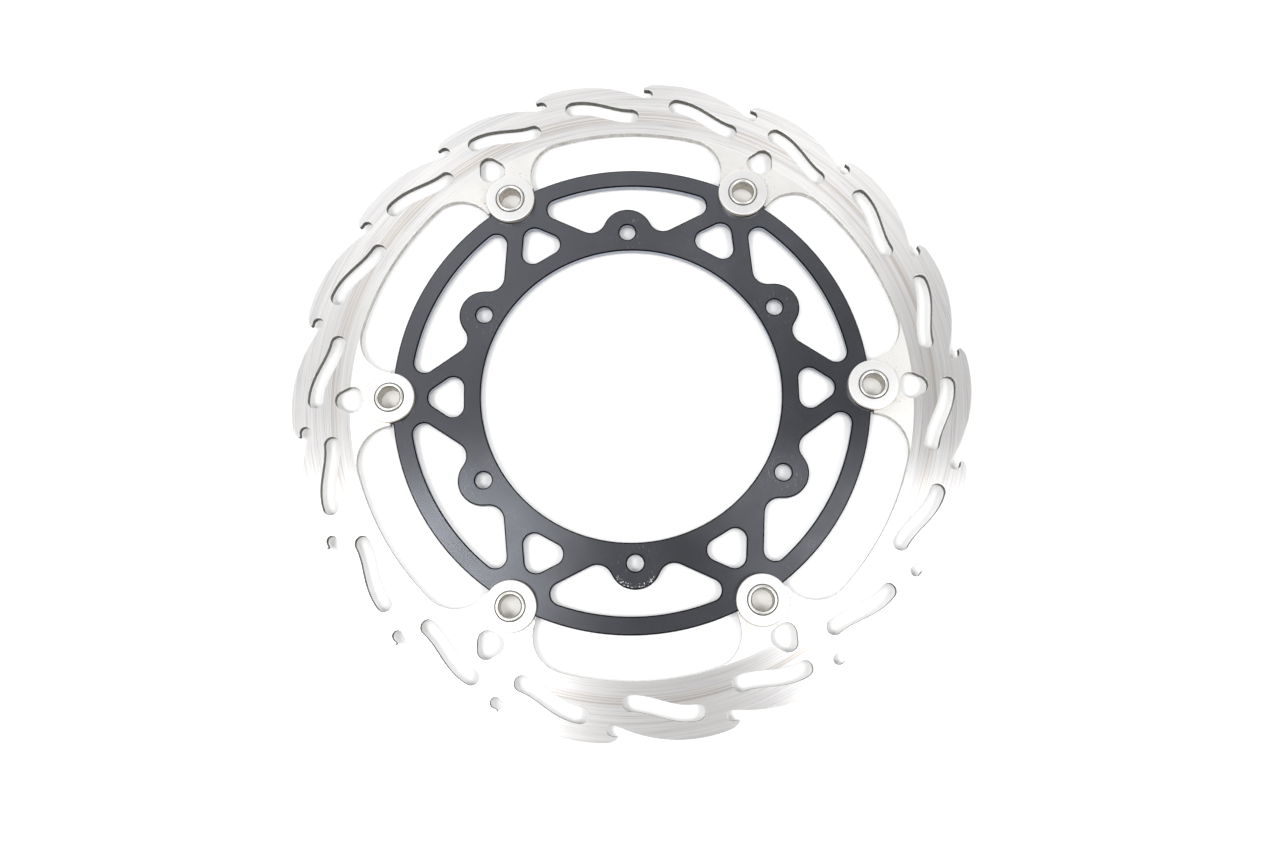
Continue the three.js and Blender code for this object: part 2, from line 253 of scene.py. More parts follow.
def slot(sector_angle, shift):
    """An S-shaped slot of constant width. Its centre line eases from one radius to the other."""
    half = SLOT_WIDTH / 2

    def centre_line(t):
        eased = (1 - math.cos(math.pi * t)) / 2
        radius = SLOT_OUTER_END[0] + (SLOT_INNER_END[0] - SLOT_OUTER_END[0]) * eased
        angle = SLOT_OUTER_END[1] + (SLOT_INNER_END[1] - SLOT_OUTER_END[1]) * t
        return at_polar(radius, angle, half)

    def heading(t):
        near = 1e-3
        before, after = centre_line(t - near), centre_line(t + near)
        return math.atan2(after[1] - before[1], after[0] - before[0])

    def side(t, quarter_turn):
        x, y, _ = centre_line(t)
        a = heading(t) + quarter_turn
        return (x + (half + shift) * math.cos(a), y + (half + shift) * math.sin(a))

    inner = [(i + 1) / SLOT_STEPS for i in range(SLOT_STEPS - 1)]
    right = math.pi / 2
    points = [side(t, -right) for t in inner]
    points += arc_points(*centre_line(1), heading(1) - right, math.pi, shift)
    points += [side(t, right) for t in reversed(inner)]
    points += arc_points(*centre_line(0), heading(0) + right, math.pi, shift)
    return [to_sector((x, y, 0), sector_angle)[:2] for x, y in points]


def three_cornered(tip, foot, sector_angle, shift):
    """The outline of a teardrop or triangle window, symmetric about its sector's centre line."""
    return belt([to_sector(p, sector_angle) for p in (foot, tip, mirrored(foot))], shift)


def carrier_rim(shift):
    mouth = (*notch_corner(CARRIER_RADIUS - NOTCH_CORNER_RADIUS), -NOTCH_CORNER_RADIUS)
    sector = [hub(-CARRIER_RADIUS), mirrored(mouth), (0, BOBBIN_CIRCLE_RADIUS, NOTCH_RADIUS), mouth]
    return belt(round_the_disc(BOBBIN_COUNT, 0, sector), shift)


def carrier_window(sector_angle, shift):
    centre_radius = WINDOW_OUTER_RADIUS - WINDOW_CORNER_RADIUS
    corner = at_polar(centre_radius, WINDOW_CORNER_ANGLE, WINDOW_CORNER_RADIUS)
    boss = (0, BOLT_CIRCLE_RADIUS, -BOSS_RADIUS)
    pulleys = [corner, hub(WINDOW_OUTER_RADIUS), mirrored(corner)]
    pulleys += [mirrored(WINDOW_VALLEY), boss, WINDOW_VALLEY]
    return belt([to_sector(p, sector_angle) for p in pulleys], shift)


def bolt_hole(sector_angle, shift):
    x, y, _ = to_sector((0, BOLT_CIRCLE_RADIUS, 0), sector_angle)
    return circle(x, y, BOLT_HOLE_RADIUS, shift)


# ---------------------------------------------------------------- mesh building


def link(name, mesh):
    piece = bpy.data.objects.new(name, mesh)
    bpy.context.scene.collection.objects.link(piece)
    return piece


def new_mesh(name, vertices, faces, materials, kinds):
    mesh = bpy.data.meshes.new(name)
    mesh.from_pydata(vertices, [], faces)
    for material in materials:
        mesh.materials.append(material)
    mesh.polygons.foreach_set("material_index", kinds)
    return clean(mesh)


def clean(mesh):
    """Merges doubled points, and shades each stretch of one material smooth where it is round."""
    bm = bmesh.new()
    bm.from_mesh(mesh)
    bmesh.ops.remove_doubles(bm, verts=bm.verts, dist=SAME_POINT)
    bmesh.ops.dissolve_degenerate(bm, edges=bm.edges, dist=SAME_POINT / 10)
    for face in bm.faces:
        face.smooth = True
    for edge in bm.edges:
        alike = len({face.material_index for face in edge.link_faces}) == 1
        edge.smooth = alike and edge.calc_face_angle(0) < SHARPEST_SMOOTH
    bm.to_mesh(mesh)
    bm.free()
    return mesh


def rounding(edge):
    """(inset, drop) pairs of a quarter circle, from the flat face to the wall."""
    turns = [math.pi / 2 * i / EDGE_STEPS for i in range(EDGE_STEPS + 1)]
    return [(edge * (1 - math.sin(a)), edge * (1 - math.cos(a))) for a in turns]


def metal_between(outlines, dividing_radius):
    """Triangles between a rim and its openings: (points, [(corners, inside the dividing circle)])."""
    anticlockwise_rim = outlines[0][::-1]
    loops = [anticlockwise_rim, *outlines[1:], circle(0, 0, dividing_radius)]
    points, polygons = [], []
    for loop in loops:
        polygons.append(list(range(len(points), len(points) + len(loop))))
        points += [Vector(p) for p in loop]
    inside_only = 1
    divided = delaunay_2d_cdt(points, [], polygons, inside_only, SAME_POINT)
    points, _, triangles, _, _, holders = divided
    rim, circle_index = 0, len(outlines)
    metal = []
    for corners, holding in zip(triangles, holders):
        if rim in holding and not set(holding) - {rim, circle_index}:
            metal.append((tuple(corners), circle_index in holding))
    return points, metal


def plate(name, outlines, low, high, edge, materials, dividing_radius=1):
    """A flat plate with rounded edges, between two heights in millimetres.

    Each outline is a function that gives its points moved into the metal by a distance. The first
    is the rim, and the others are openings. The materials are those of the faces, the walls, the
    edges and, where there is a fourth, the faces inside the dividing circle.
    """
    top = [(inset, high - drop) for inset, drop in rounding(edge)]
    bottom = [(inset, low + drop) for inset, drop in reversed(rounding(edge))]
    levels = top + bottom
    vertices, faces, kinds = [], [], []
    for outline in outlines:
        rings = []
        for inset, height in levels:
            points = outline(inset)
            rings.append(range(len(vertices), len(vertices) + len(points)))
            vertices += [(x * MM, y * MM, height * MM) for x, y in points]
        for level, (upper, lower) in enumerate(zip(rings, rings[1:])):
            for i in range(len(upper)):
                j = (i + 1) % len(upper)
                faces.append((upper[i], upper[j], lower[j], lower[i]))
                kinds.append(WALL if level == len(top) - 1 else EDGE)
    points, metal = metal_between([outline(edge) for outline in outlines], dividing_radius)
    for height, order in ((high, 1), (low, -1)):
        first = len(vertices)
        vertices += [(x * MM, y * MM, height * MM) for x, y in points]
        for corners, within in metal:
            faces.append(tuple(first + c for c in corners[::order]))
            kinds.append(INNER_FACE if within else FACE)
    return new_mesh(name, vertices, faces, materials, kinds)


def turned(name, profile, materials, rise=None):
    """A piece turned about Z. The profile lists (radius, height, material index) round the section.

    The index is that of the surface from this point to the next. rise gives how much higher the
    whole section sits at an angle round the piece.
    """
    count = len(profile)
    vertices, faces, kinds = [], [], []
    for i in range(TURNED_SEGMENTS):
        a = 2 * math.pi * i / TURNED_SEGMENTS
        lift = rise(a) if rise else 0
        for radius, height, _ in profile:
            vertices.append((radius * math.cos(a) * MM, radius * math.sin(a) * MM, (height + lift) * MM))
    for i in range(TURNED_SEGMENTS):
        here, there = i * count, (i + 1) % TURNED_SEGMENTS * count
        for j in range(count):
            k = (j + 1) % count
            faces.append((here + j, there + j, there + k, here + k))
            kinds.append(profile[j][2])
    return new_mesh(name, vertices, faces, materials, kinds)


def bend(centre, radius, start, end, kind, steps=6):
    """Profile points along an arc of a section, with angles in degrees from outward to up."""
    points = []
    for i in range(steps + 1):
        a = math.radians(start + (end - start) * i / steps)
        points.append((centre[0] + radius * math.cos(a), centre[1] + radius * math.sin(a), kind))
    return points


# ---------------------------------------------------------------- node building


class Nodes:
    """Builds the nodes of one tree. An input may be a number, a colour or another node's socket."""

    def __init__(self, owner):
        owner.use_nodes = True
        self.nodes = owner.node_tree.nodes
        self.links = owner.node_tree.links
        self.nodes.clear()

    def add(self, kind, inputs=(), **settings):
        made = self.nodes.new(kind)
        for key, value in settings.items():
            setattr(made, key, value)
        for key, value in dict(inputs).items():
            if isinstance(value, bpy.types.NodeSocket):
                self.links.new(value, made.inputs[key])
            else:
                made.inputs[key].default_value = value
        return made

    def math(self, operation, a, b=0.0):
        return self.add("ShaderNodeMath", {0: a, 1: b}, operation=operation).outputs[0]

    def ramp(self, value, low, high, at_low, at_high):
        """Changes smoothly from one level where the value is low to another where it is high."""
        inputs = {"Value": value, "From Min": low, "From Max": high, "To Min": at_low, "To Max": at_high}
        return self.add("ShaderNodeMapRange", inputs, interpolation_type="SMOOTHSTEP").outputs[0]


class Shader(Nodes):
    """Builds the nodes of one material. Its place is the spot on the piece that is being coloured."""

    def __init__(self, name):
        self.material = bpy.data.materials.new(name)
        super().__init__(self.material)
        self.place = self.add("ShaderNodeTexCoord").outputs["Object"]

    def combine(self, x, y, z):
        return self.add("ShaderNodeCombineXYZ", {0: x, 1: y, 2: z}).outputs[0]

    def scaled(self, vector, factors):
        return self.add("ShaderNodeVectorMath", {0: vector, 1: factors}, operation="MULTIPLY").outputs[0]

    def noise(self, vector, detail=3.0, roughness=0.55):
        inputs = {"Vector": vector, "Scale": 1.0, "Detail": detail, "Roughness": roughness}
        return self.add("ShaderNodeTexNoise", inputs).outputs[0]

    def cloud(self, fineness, detail=3.0, roughness=0.55):
        """Noise over the piece, with its fineness in cells per metre, alike or along each axis."""
        factors = fineness if isinstance(fineness, tuple) else (fineness,) * 3
        return self.noise(self.scaled(self.place, factors), detail, roughness)

    def step(self, value, start, end):
        """Changes smoothly from 0 where the value is at its start to 1 where it is at its end."""
        if start < end:
            return self.ramp(value, start, end, 0.0, 1.0)
        return self.ramp(value, end, start, 1.0, 0.0)

    def between(self, value, low, high, blur):
        """1 where the value lies between low and high, with blurred ends."""
        rise = self.step(value, low - blur, low + blur)
        return self.math("MULTIPLY", rise, self.step(value, high + blur, high - blur))

    def lerp(self, value, low, high):
        inputs = {"Value": value, "To Min": low, "To Max": high}
        return self.add("ShaderNodeMapRange", inputs).outputs[0]

    def mix(self, factor, first, second):
        inputs = {0: factor, 6: self.colour(first), 7: self.colour(second)}
        return self.add("ShaderNodeMix", inputs, data_type="RGBA").outputs[2]

    def colour(self, value):
        return value if isinstance(value, bpy.types.NodeSocket) else (*value, 1.0)

    def cover(self, base, colour, mask, strength):
        """The base colour, partly covered with another where the mask is 1."""
        return self.mix(self.math("MULTIPLY", mask, strength), base, colour)

    def bump(self, height, strength, distance):
        inputs = {"Height": height, "Strength": strength, "Distance": distance}
        return self.add("ShaderNodeBump", inputs).outputs[0]

    def flat_place(self):
        """The place in millimetres, with its height left out."""
        return self.scaled(self.place, (1 / MM, 1 / MM, 0.0))

    def from_axis(self):
        """(direction from the piece's Z axis, distance from it in millimetres)."""
        flat = self.flat_place()
        direction = self.add("ShaderNodeVectorMath", {0: flat}, operation="NORMALIZE").outputs[0]
        distance = self.add("ShaderNodeVectorMath", {0: flat}, operation="LENGTH").outputs["Value"]
        return direction, distance

    def streaks(self, around, across, detail=3.0, roughness=0.55):
        """Noise drawn out along circles about the axis, finer across them than along them."""
        direction, distance = self.from_axis()
        drawn = self.scaled(direction, (around, around, 0.0))
        outward = self.combine(0.0, 0.0, self.math("MULTIPLY", distance, across))
        vector = self.add("ShaderNodeVectorMath", {0: drawn, 1: outward}, operation="ADD").outputs[0]
        return self.noise(vector, detail, roughness)

    def distance_from_ring(self, circle_radius, first_angle):
        """Distance in millimetres from the nearest of as many points on a circle as there are bobbins."""
        split = self.add("ShaderNodeSeparateXYZ", {0: self.place}).outputs
        around = self.math("ARCTAN2", split[1], split[0])
        sector = 2 * math.pi / BOBBIN_COUNT
        turned_back = self.math("SUBTRACT", around, math.radians(first_angle) - sector / 2)
        folded = self.math("SUBTRACT", self.math("FLOORED_MODULO", turned_back, sector), sector / 2)
        distance = self.from_axis()[1]
        along = self.math("MULTIPLY", distance, self.math("COSINE", folded))
        across = self.math("MULTIPLY", distance, self.math("SINE", folded))
        vector = self.combine(self.math("SUBTRACT", along, circle_radius), across, 0.0)
        return self.add("ShaderNodeVectorMath", {0: vector}, operation="LENGTH").outputs["Value"]

    def distance_from_point(self, point):
        """Distance in millimetres from the upright line through a point (x, y) of the piece."""
        inputs = {0: self.flat_place(), 1: (*point, 0.0)}
        return self.add("ShaderNodeVectorMath", inputs, operation="DISTANCE").outputs["Value"]

    def around_axis(self):
        """The direction round the piece's Z axis, along turning and grinding marks."""
        return self.add("ShaderNodeTangent", direction_type="RADIAL", axis="Z").outputs[0]

    def finish(self, **inputs):
        """Ends the material with a Principled shader, and returns the material."""
        named = {key.replace("_", " "): value for key, value in inputs.items()}
        shader = self.add("ShaderNodeBsdfPrincipled", named)
        self.add("ShaderNodeOutputMaterial", {"Surface": shader.outputs[0]})
        return self.material


# ---------------------------------------------------------------- materials


def stained(s, base):
    """The colour with light stains and specks of rust added round the bobbins, and the specks' mask."""
    from_bobbin = s.distance_from_ring(BOBBIN_CIRCLE_RADIUS, 0)
    nearby = s.between(from_bobbin, 10.0, 14.0, 2.5)
    clouds = s.cloud(260.0, 4.0)
    stain = s.math("MULTIPLY", nearby, s.step(clouds, 0.5, 0.72))
    base = s.cover(base, (0.74, 0.60, 0.42), stain, 0.35)
    specks = s.cloud(1100.0, 2.0, 0.4)
    rust = s.math("MULTIPLY", nearby, s.step(specks, 0.68, 0.72))
    return s.mix(rust, base, (0.22, 0.13, 0.07)), rust


def ground_steel():
    """The blade's pad track: ground in circles, with faint brown bands."""
    s = Shader("ground_steel")
    _, radius = s.from_axis()
    fine = s.streaks(3.5, 3.8, 4.0, 0.65)
    bands = s.streaks(0.8, 0.8, 3.0, 0.6)
    base = s.mix(s.step(bands, 0.35, 0.68), (0.98, 0.97, 0.955), (0.86, 0.85, 0.85))
    worn = s.step(s.cloud(24.0, 3.0, 0.6), 0.35, 0.65)
    marked = s.math("MULTIPLY", s.step(fine, 0.5, 0.66), s.lerp(worn, 0.2, 0.85))
    base = s.mix(marked, base, (0.54, 0.525, 0.55))
    threads = s.streaks(0.7, 1.9, 2.0, 0.5)
    brown = s.math("MULTIPLY", s.between(radius, 116.5, 121.5, 1.0), s.step(threads, 0.42, 0.58))
    base = s.cover(base, (0.52, 0.44, 0.37), brown, 0.5)
    border = s.step(radius, PAD_TRACK_INNER_RADIUS + 0.35, PAD_TRACK_INNER_RADIUS)
    base = s.cover(base, (0.50, 0.48, 0.46), border, 0.15)
    return s.finish(
        Base_Color=base,
        Metallic=1.0,
        Roughness=s.lerp(fine, 0.30, 0.40),
        Anisotropic=0.85,
        Anisotropic_Rotation=GRAIN_TURN,
        Tangent=s.around_axis(),
        Normal=s.bump(fine, 0.12, 0.00002),
    )


def lug_steel():
    """The blade's lugs, which the pads don't reach: plainer and lighter, with rust at the bobbins."""
    s = Shader("lug_steel")
    faint = s.streaks(5.0, 2.0, 3.0, 0.6)
    blotches = s.cloud(70.0, 3.0)
    base = s.mix(s.step(blotches, 0.35, 0.7), (0.86, 0.85, 0.83), (0.79, 0.78, 0.765))
    base = s.cover(base, (0.68, 0.665, 0.64), s.step(faint, 0.5, 0.75), 0.25)
    base, rust = stained(s, base)
    return s.finish(
        Base_Color=base,
        Metallic=s.math("SUBTRACT", 1.0, rust),
        Roughness=s.math("ADD", s.lerp(faint, 0.42, 0.50), s.math("MULTIPLY", rust, 0.3)),
        Anisotropic=0.3,
        Anisotropic_Rotation=GRAIN_TURN,
        Tangent=s.around_axis(),
        Normal=s.bump(faint, 0.08, 0.00002),
    )


def cut_steel():
    """The blade's cut walls: grey-green, with upright striations, painted darker beyond the pad track's
    inner edge as shade in the narrow slots, and lighter inside it as lit from the floor.
    """
    s = Shader("cut_steel")
    lines = s.cloud((2600.0, 2600.0, 120.0), 3.0, 0.6)
    patches = s.cloud(240.0, 2.0)
    # Painted shade and light: a dark copy of the colour for the walls beyond the pad track's inner edge,
    # the slots among them, and a light copy for the walls inside it.
    painted_slot_shade = s.mix(s.step(lines, 0.35, 0.7), (0.14, 0.145, 0.13), (0.085, 0.088, 0.08))
    light = s.mix(s.step(lines, 0.35, 0.7), (0.50, 0.49, 0.47), (0.38, 0.37, 0.35))
    _, radius = s.from_axis()
    base = s.mix(s.step(radius, PAD_TRACK_INNER_RADIUS + 0.1, PAD_TRACK_INNER_RADIUS + 0.6), light, painted_slot_shade)
    base = s.cover(base, (0.16, 0.13, 0.10), s.step(patches, 0.4, 0.75), 0.4)
    return s.finish(
        Base_Color=base,
        Metallic=0.85,
        Roughness=s.lerp(lines, 0.38, 0.6),
        Normal=s.bump(lines, 0.4, 0.00005),
    )


def worn_edge():
    """The blade's broken edges: brighter where they have been brushed."""
    s = Shader("worn_edge")
    nicks = s.cloud(900.0, 3.0, 0.6)
    base = s.mix(s.step(nicks, 0.4, 0.65), (0.62, 0.61, 0.58), (0.42, 0.41, 0.39))
    return s.finish(Base_Color=base, Metallic=1.0, Roughness=s.lerp(nicks, 0.3, 0.5))


def black_anodised():
    """The carrier's faces: satin black, faced off in circles, smudged, and scuffed round the bolts.

    The lowest boss has its edge chipped.
    """
    s = Shader("black_anodised")
    grain = s.cloud(5200.0, 2.0, 0.7)
    rings = s.streaks(3.0, 2.2, 3.0, 0.6)
    smudges = s.cloud(55.0, 4.0, 0.6)
    base = s.mix(s.step(smudges, 0.35, 0.7), (0.0016, 0.0018, 0.0026), (0.0030, 0.0033, 0.0043))
    base = s.mix(s.step(grain, 0.5, 0.85), base, (0.007, 0.0075, 0.009))
    from_bolt = s.distance_from_ring(BOLT_CIRCLE_RADIUS, BETWEEN_BOBBINS)
    boss = s.between(from_bolt, BOLT_HOLE_RADIUS + 0.6, 8.2, 1.2)
    rubbed = s.cloud((1500.0, 420.0, 800.0), 4.0, 0.7)
    scuffs = s.math("MULTIPLY", boss, s.step(rubbed, 0.6, 0.72))
    base = s.cover(base, (0.16, 0.16, 0.165), scuffs, 0.45)
    motes = s.cloud(1100.0, 2.0)
    from_lowest_bolt = s.distance_from_point((0, -BOLT_CIRCLE_RADIUS))
    from_boss_edge = s.distance_from_point((0, -BOLT_CIRCLE_RADIUS - BOSS_RADIUS))
    along_edge = s.between(from_lowest_bolt, BOSS_RADIUS - 1.9, BOSS_RADIUS - 0.6, 0.5)
    chipped = s.math("MULTIPLY", along_edge, s.step(from_boss_edge, 11.0, 9.5))
    base = s.cover(base, (0.65, 0.65, 0.64), chipped, s.step(motes, 0.59, 0.63))
    dust = s.step(motes, 0.72, 0.76)
    base = s.cover(base, (0.20, 0.195, 0.19), dust, 0.4)
    roughness = s.math("ADD", s.lerp(smudges, 0.21, 0.31), s.math("MULTIPLY", scuffs, 0.15))
    height = s.math("ADD", s.math("MULTIPLY", grain, 0.3), s.math("MULTIPLY", rings, 0.4))
    return s.finish(
        Base_Color=base,
        Metallic=0.0,
        Roughness=roughness,
        IOR=2.45,
        Specular_Tint=(0.87, 0.90, 1.0, 1.0),
        Anisotropic=0.8,
        Anisotropic_Rotation=GRAIN_TURN,
        Tangent=s.around_axis(),
        Normal=s.bump(height, 0.06, 0.00002),
    )


def anodised_wall():
    """The carrier's milled walls, with faint cutter marks along them, painted a light blue-grey as a
    reflection of the white floor.
    """
    s = Shader("anodised_wall")
    marks = s.cloud((160.0, 160.0, 3800.0), 3.0, 0.6)
    flutes = s.cloud((1300.0, 1300.0, 90.0), 2.0)
    # Painted reflection: the light bluish colour stands in for the white floor mirrored in the walls.
    base = s.mix(s.step(marks, 0.35, 0.7), (0.16, 0.185, 0.25), (0.11, 0.13, 0.18))
    return s.finish(
        Base_Color=base,
        Metallic=0.0,
        Roughness=s.lerp(flutes, 0.27, 0.31),
        IOR=2.1,
        Normal=s.bump(marks, 0.2, 0.00002),
    )


def anodised_edge():
    """The carrier's chamfered edges: a darker line of painted shade, near black and with almost no
    reflection, worn here and there.
    """
    s = Shader("anodised_edge")
    wear = s.cloud(620.0, 4.0, 0.65)
    # Painted shade: near black, with the reflection turned almost off, to draw a dark line along the edge.
    base = s.mix(s.step(wear, 0.62, 0.78), (0.0008, 0.0009, 0.0014), (0.004, 0.004, 0.0045))
    return s.finish(
        Base_Color=base, Metallic=0.0, Roughness=s.lerp(wear, 0.4, 0.6), Specular_IOR_Level=0.05
    )


def plated_steel():
    """The flat washers: satin, with faint turning rings, scratches and dull patches."""
    s = Shader("plated_steel")
    rings = s.streaks(1.2, 6.5, 3.0, 0.6)
    dull = s.cloud(230.0, 3.0)
    scratches = s.cloud((3200.0, 300.0, 300.0), 2.0, 0.6)
    base = s.mix(s.step(dull, 0.35, 0.7), (0.775, 0.77, 0.765), (0.735, 0.73, 0.727))
    base = s.cover(base, (0.62, 0.60, 0.57), s.step(scratches, 0.66, 0.74), 0.2)
    roughness = s.math("ADD", s.lerp(rings, 0.43, 0.49), s.math("MULTIPLY", s.step(dull, 0.4, 0.7), 0.05))
    return s.finish(Base_Color=base, Metallic=1.0, Roughness=roughness, Normal=s.bump(rings, 0.08, 0.00002))


def painted_shade_steel():
    """The washers' countersinks, and the outer foot and the mouth of each lip: painted shade for these gaps
    and recesses, mottled a little.
    """
    s = Shader("painted_shade_steel")
    shade_mottle = s.cloud(600.0, 3.0)
    # Painted shade, mottled a little.
    base = s.mix(s.step(shade_mottle, 0.35, 0.7), (0.30, 0.29, 0.27), (0.18, 0.165, 0.14))
    return s.finish(Base_Color=base, Metallic=0.8, Roughness=s.lerp(shade_mottle, 0.4, 0.55))


def turned_steel():
    """The bobbins' outer surfaces, with fine turning rings and painted shade on the slope outside the lip's
    crest.
    """
    s = Shader("turned_steel")
    rings = s.streaks(1.0, 9.0, 3.0, 0.65)
    stains = s.cloud(420.0, 3.0)
    base = s.mix(s.step(rings, 0.35, 0.7), (0.82, 0.81, 0.785), (0.73, 0.72, 0.695))
    base = s.cover(base, (0.55, 0.48, 0.38), s.step(stains, 0.6, 0.75), 0.4)
    _, radius = s.from_axis()
    # Painted shade on the lip's outer slope, below its bright crest.
    painted_lip_shade = s.between(radius, (LIP_RADIUS + LIP_MOUTH_RADIUS) / 2 + 0.25, LIP_RADIUS + 0.1, 0.12)
    base = s.cover(base, (0.30, 0.29, 0.27), painted_lip_shade, 0.75)
    return s.finish(
        Base_Color=base,
        Metallic=1.0,
        Roughness=s.lerp(rings, 0.22, 0.34),
        Normal=s.bump(rings, 0.1, 0.00002),
    )


def bobbin_bore():
    """The bobbins' bores: beige-grey, with drill rings and brown grime."""
    s = Shader("bobbin_bore")
    rings = s.cloud((120.0, 120.0, 3200.0), 3.0, 0.6)
    grime_and_shade = s.cloud(500.0, 4.0, 0.6)
    base = s.mix(s.step(rings, 0.35, 0.7), (0.58, 0.55, 0.50), (0.40, 0.375, 0.33))
    base = s.mix(s.step(grime_and_shade, 0.55, 0.75), base, (0.16, 0.13, 0.10))
    return s.finish(
        Base_Color=base,
        Metallic=0.8,
        Roughness=s.lerp(grime_and_shade, 0.38, 0.58),
        Normal=s.bump(rings, 0.3, 0.00003),
    )


def spring_steel():
    """The wave washers: straw-tinted, with faint rolling marks, and painted dark as the shadow line under
    the flat washers.
    """
    s = Shader("spring_steel")
    marks = s.streaks(2.0, 4.0, 3.0, 0.6)
    tint = s.cloud(300.0, 2.0)
    # Painted shade: the straw colour is kept dark for the shadow under the flat washer.
    base = s.mix(s.step(marks, 0.35, 0.7), (0.38, 0.345, 0.275), (0.27, 0.24, 0.18))
    base = s.cover(base, (0.20, 0.17, 0.13), s.step(tint, 0.5, 0.7), 0.5)
    return s.finish(
        Base_Color=base,
        Metallic=1.0,
        Roughness=s.lerp(marks, 0.28, 0.42),
        Normal=s.bump(marks, 0.1, 0.00002),
    )


def pale_floor():
    """A plain white sheet."""
    s = Shader("pale_floor")
    fibres = s.cloud(400.0, 3.0)
    base = s.mix(fibres, (0.96, 0.96, 0.96), (0.94, 0.94, 0.94))
    return s.finish(Base_Color=base, Metallic=0.0, Roughness=0.7)


# ---------------------------------------------------------------- blade and carrier


def heights(node):
    """The lowest and highest planes of a CAD node, in millimetres."""
    low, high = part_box(node)
    return low.z / MM, high.z / MM


blade_outlines = [blade_rim, blade_inside]
for angle in sector_angles(TOOTH_COUNT, TOOTH_SECTOR_START):
    blade_outlines.append(lambda shift, a=angle: slot(a, shift))
for angle in sector_angles(BOBBIN_COUNT):
    blade_outlines.append(lambda shift, a=angle: three_cornered(TEARDROP_TIP, TEARDROP_FOOT, a, shift))

blade_low, blade_high = heights("blade")
blade_mesh = plate(
    "blade_ring", blade_outlines, blade_low, blade_high, BLADE_EDGE,
    [ground_steel(), cut_steel(), worn_edge(), lug_steel()], PAD_TRACK_INNER_RADIUS,
)
blade = link("blade_ring", blade_mesh)
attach(blade, "blade")
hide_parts("blade")

carrier_outlines = [carrier_rim, lambda shift: circle(0, 0, HUB_BORE_RADIUS, shift)]
for angle in sector_angles(BOBBIN_COUNT, BETWEEN_BOBBINS):
    carrier_outlines.append(lambda shift, a=angle: carrier_window(a, shift))
    carrier_outlines.append(lambda shift, a=angle: bolt_hole(a, shift))
for angle in sector_angles(BOBBIN_COUNT):
    carrier_outlines.append(lambda shift, a=angle: three_cornered(TRIANGLE_TIP, TRIANGLE_FOOT, a, shift))

carrier_low, carrier_high = heights("carrier")
carrier_mesh = plate(
    "carrier_plate", carrier_outlines, carrier_low, carrier_high, CARRIER_EDGE,
    [black_anodised(), anodised_wall(), anodised_edge()],
)
carrier = link("carrier_plate", carrier_mesh)
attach(carrier, "carrier")
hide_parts("carrier")

# ---------------------------------------------------------------- bobbins and washers


def bobbin_profile(washer_top):
    """The bobbin's section: flange, sleeve, neck, rolled lip, bore."""
    neck_top = washer_top - LIP_DEPTH
    relief_top = carrier_high - BORE_RELIEF_DEPTH
    relief_taper = BORE_RELIEF_RADIUS - BORE_RADIUS
    crest = (LIP_RADIUS + LIP_MOUTH_RADIUS) / 2
    roll = (LIP_RADIUS - LIP_MOUTH_RADIUS) / 2
    profile = [(BORE_RELIEF_RADIUS, 0, OUTSIDE)]
    profile += bend((FLANGE_RADIUS - FLANGE_EDGE, FLANGE_EDGE), FLANGE_EDGE, -90, 0, OUTSIDE)
    rim_top = FLANGE_THICKNESS - FLANGE_EDGE / 2
    profile += bend((FLANGE_RADIUS - FLANGE_EDGE / 2, rim_top), FLANGE_EDGE / 2, 0, 90, OUTSIDE)
    # The shoulder and the neck take painted shade.
    profile += [
        (SLEEVE_RADIUS, FLANGE_THICKNESS, OUTSIDE),
        (SLEEVE_RADIUS, carrier_high, PAINTED_SHADE),
        (NECK_RADIUS, carrier_high, PAINTED_SHADE),
        (NECK_RADIUS, neck_top, PAINTED_SHADE),
    ]
    lip_centre = (crest, washer_top + LIP_RISE - roll)
    # Painted shade covers the lip's foot and mouth; the turned steel shows only between these angles.
    unshaded_from, unshaded_to = 12, 155
    profile += bend(lip_centre, roll, -5, unshaded_from, PAINTED_SHADE, 2)
    profile += bend(lip_centre, roll, unshaded_from, unshaded_to, OUTSIDE, 14)
    profile += bend(lip_centre, roll, unshaded_to, 185, PAINTED_SHADE, 3)
    profile += [
        (BORE_RADIUS + LIP_FLARE, washer_top - LIP_DEPTH / 2, INSIDE),
        (BORE_RADIUS, neck_top, INSIDE),
        (BORE_RADIUS, relief_top, INSIDE),
        (BORE_RELIEF_RADIUS, relief_top - relief_taper, INSIDE),
    ]
    return profile


def washer_profile(washer_top):
    """The flat washer's section, countersunk at the top for the rolled lip."""
    bottom = washer_top - WASHER_THICKNESS
    lower_edge = WASHER_EDGE / 3
    lower_centre = (WASHER_RADIUS - lower_edge, bottom + lower_edge)
    upper_centre = (WASHER_RADIUS - WASHER_EDGE, washer_top - WASHER_EDGE)
    soft = 0.1
    inner_centre = (COUNTERSINK_RADIUS + soft, washer_top - soft)
    profile = [(WASHER_HOLE_RADIUS, bottom, WASHER_OUTSIDE)]
    profile += bend(lower_centre, lower_edge, -90, 0, WASHER_OUTSIDE)
    profile += bend(upper_centre, WASHER_EDGE, 0, 90, WASHER_OUTSIDE, 8)
    # The countersink is painted shade.
    profile += bend(inner_centre, soft, 90, 140, COUNTERSINK, 3)
    profile.append((WASHER_HOLE_RADIUS, washer_top - COUNTERSINK_DEPTH, COUNTERSINK))
    return profile


